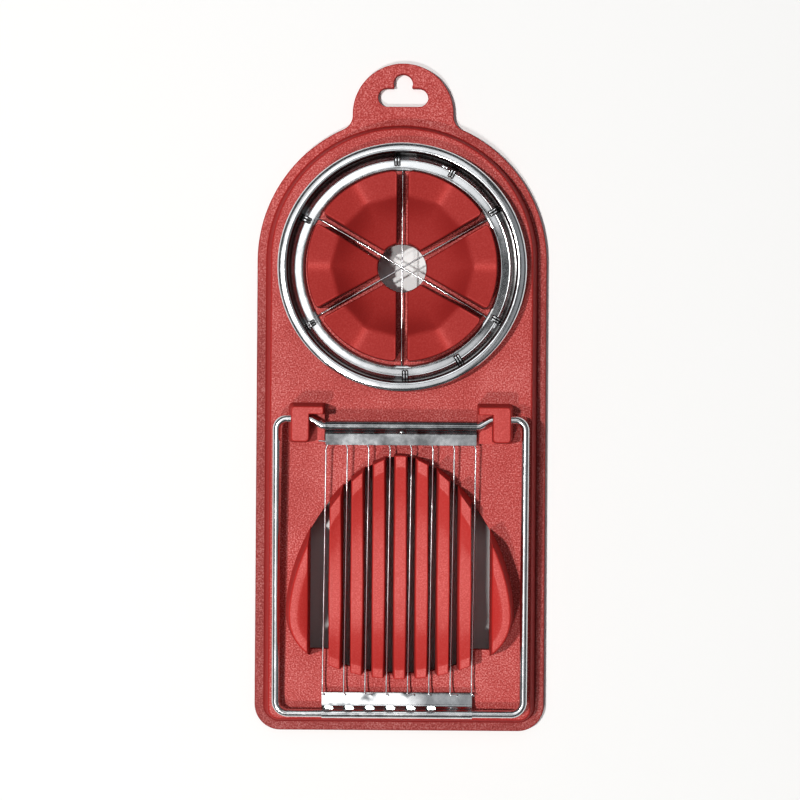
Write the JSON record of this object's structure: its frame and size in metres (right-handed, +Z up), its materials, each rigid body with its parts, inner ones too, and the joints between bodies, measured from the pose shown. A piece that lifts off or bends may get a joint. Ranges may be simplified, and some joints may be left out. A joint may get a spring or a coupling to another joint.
{
  "type": "egg slicer",
  "caption": "Flat hand egg slicer: long moulded base with a slotted egg cradle under a hinged wire cutting frame, and a round slotted cup with a lift-off wire wedging ring.",
  "frame": {"origin": "centre of the base's bounding box at the table, under the flange", "axes": "+Z up from the table; +Y along the base towards the wedge cup and the hang tab; +X to the right seen from the cradle end; the hinge axis runs along X"},
  "size_m": [0.085, 0.196, 0.0218],
  "materials": {
    "base_plastic": "fine grained satin",
    "seat_plastic": "smooth satin gloss",
    "clip_plastic": "smooth satin gloss",
    "rod_steel": "bright plated",
    "strip_steel": "bright sheet, slightly mottled",
    "wire_steel": "drawn stainless wire",
    "ring_steel": "bright pressed sheet"
  },
  "bodies": {
    "base": {"base_plate": "base_plastic", "base_skirt": "base_plastic", "hang_tab": "base_plastic", "cradle_finger_1": "seat_plastic", "cradle_finger_2": "seat_plastic", "cradle_finger_3": "seat_plastic", "cradle_finger_4": "seat_plastic", "cradle_finger_5": "seat_plastic", "cradle_finger_6": "seat_plastic", "cradle_finger_7": "seat_plastic", "cradle_wing_left": "seat_plastic", "cradle_wing_right": "seat_plastic", "wedge_seat_1": "seat_plastic", "wedge_seat_2": "seat_plastic", "wedge_seat_3": "seat_plastic", "wedge_seat_4": "seat_plastic", "wedge_seat_5": "seat_plastic", "wedge_seat_6": "seat_plastic", "hinge_clip_left": "clip_plastic", "hinge_clip_right": "clip_plastic"},
    "slicer_frame": {"frame_hinge_bar": "rod_steel", "frame_side_rod_left": "rod_steel", "frame_side_rod_right": "rod_steel", "frame_free_bar": "rod_steel", "wire_strip_hinge": "strip_steel", "wire_strip_free": "strip_steel", "slicing_wire_1": "wire_steel", "slicing_wire_2": "wire_steel", "slicing_wire_3": "wire_steel", "slicing_wire_4": "wire_steel", "slicing_wire_5": "wire_steel", "slicing_wire_6": "wire_steel", "slicing_wire_7": "wire_steel", "slicing_wire_8": "wire_steel"},
    "wedger": {"wedger_ring": "ring_steel", "wedging_wire_1": "wire_steel", "wedging_wire_2": "wire_steel", "wedging_wire_3": "wire_steel"}
  },
  "joints": [
    {"name": "frame_hinge", "type": "hinge", "parent": "base", "child": "slicer_frame", "pos_m": [0, -0.00644, 0.0163], "axis": [-1, 0, 0], "range_deg": [0, 95]},
    {"name": "ring_lift", "type": "slide", "parent": "base", "child": "wedger", "axis": [0, 0, 1], "range_m": [0, 0.06]}
  ]
}
